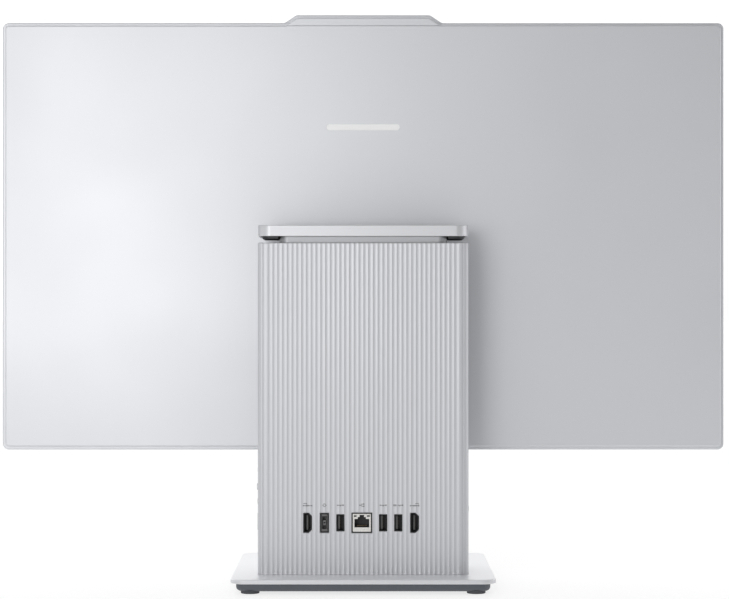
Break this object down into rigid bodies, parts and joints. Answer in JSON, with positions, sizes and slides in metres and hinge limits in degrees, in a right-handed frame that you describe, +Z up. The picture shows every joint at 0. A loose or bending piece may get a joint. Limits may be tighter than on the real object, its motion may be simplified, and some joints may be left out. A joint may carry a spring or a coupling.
{
  "type": "all-in-one computer",
  "caption": "Thin flat display on a tilt hinge above a fluted column that holds the computer and its rear sockets, on a flat base with rubber feet.",
  "frame": {"origin": "on the desk, under the middle of the object's box", "axes": "+Z up; the screen faces -Y and the rear sockets face +Y; +X is the side with the power button"},
  "size_m": [0.614, 0.206, 0.4777],
  "materials": {
    "silver": "silver paint with a fine soft sheen",
    "slate": "dark grey moulded plastic, fine grain",
    "dark": "black moulded plastic",
    "rubber": "dark grey rubber",
    "steel": "pressed steel, zinc plated",
    "backlight": "stack of light guide and films in a pale tray",
    "aluminium": "cast or pressed aluminium, bare",
    "copper": "bare copper",
    "board": "green circuit board",
    "chip": "dark chip package",
    "socket": "socket with a black insulator and bright shell",
    "screen": "dark screen glass",
    "lens": "clear light pipe"
  },
  "bodies": {
    "root": {"base_plate": "silver", "rear_shell": "silver", "socket_panel": "silver", "front_shell": "silver", "neck_cover": "silver", "cap": "silver", "base_tray": "slate", "exhaust_grille": "dark", "cap_liner": "dark", "blower_housing": "dark", "speaker_left": "dark", "speaker_right": "dark", "display_cable_lower": "dark", "foot_front_left": "rubber", "foot_front_right": "rubber", "foot_rear_left": "rubber", "foot_rear_right": "rubber", "column_frame": "steel", "base_screw_left": "steel", "base_screw_right": "steel", "hinge_pin": "steel", "board_rail_left": "steel", "board_rail_right": "steel", "hinge_arm": "aluminium", "fin_stack": "aluminium", "cold_plate": "copper", "heat_pipe": "copper", "mainboard": "board", "memory_module_1": "board", "memory_module_2": "board", "solid_state_drive": "board", "processor": "chip", "video_out_socket": "socket", "power_socket": "socket", "data_socket_1": "socket", "network_socket": "socket", "data_socket_2": "socket", "data_socket_3": "socket", "video_in_socket": "socket", "side_data_socket": "socket", "audio_socket": "socket", "status_light": "lens"},
    "display": {"back_cover": "silver", "display_frame": "silver", "lcd_panel": "screen", "backlight_tray": "backlight", "chin_strip": "silver", "display_board": "board", "camera_window": "dark", "camera_module": "board", "display_bracket": "aluminium", "mount_plate": "steel", "bracket_screw_left": "steel", "bracket_screw_right": "steel", "display_cable_upper": "dark"},
    "shutter": {"privacy_shutter": "dark"},
    "rotor": {"blower_rotor": "dark"},
    "source_key": {"source_button": "silver"},
    "power_key": {"power_button": "silver"},
    "menu_key": {"menu_button": "silver"}
  },
  "joints": [
    {"name": "display_tilt", "type": "hinge", "parent": "root", "child": "display", "pos_m": [0, -0.011, 0.2845], "axis": [-1, 0, 0], "range_deg": [-5, 20]},
    {"name": "shutter_slide", "type": "slide", "parent": "display", "child": "shutter", "axis": [-1, 0, 0], "range_m": [0, 0.0079]},
    {"name": "blower_spin", "type": "hinge", "parent": "root", "child": "rotor", "pos_m": [-0.0255, 0.0172, 0.19], "axis": [0, 1, 0], "continuous": true},
    {"name": "source_button_press", "type": "slide", "parent": "root", "child": "source_key", "axis": [-1, 0, 0], "range_m": [0, 0.0005], "stiffness_N_per_m": 600, "springref_m": -0.0005},
    {"name": "power_button_press", "type": "slide", "parent": "root", "child": "power_key", "axis": [-1, 0, 0], "range_m": [0, 0.0008], "stiffness_N_per_m": 600, "springref_m": -0.0005},
    {"name": "menu_button_press", "type": "slide", "parent": "root", "child": "menu_key", "axis": [1, 0, 0], "range_m": [0, 0.0005], "stiffness_N_per_m": 600, "springref_m": -0.0005}
  ]
}
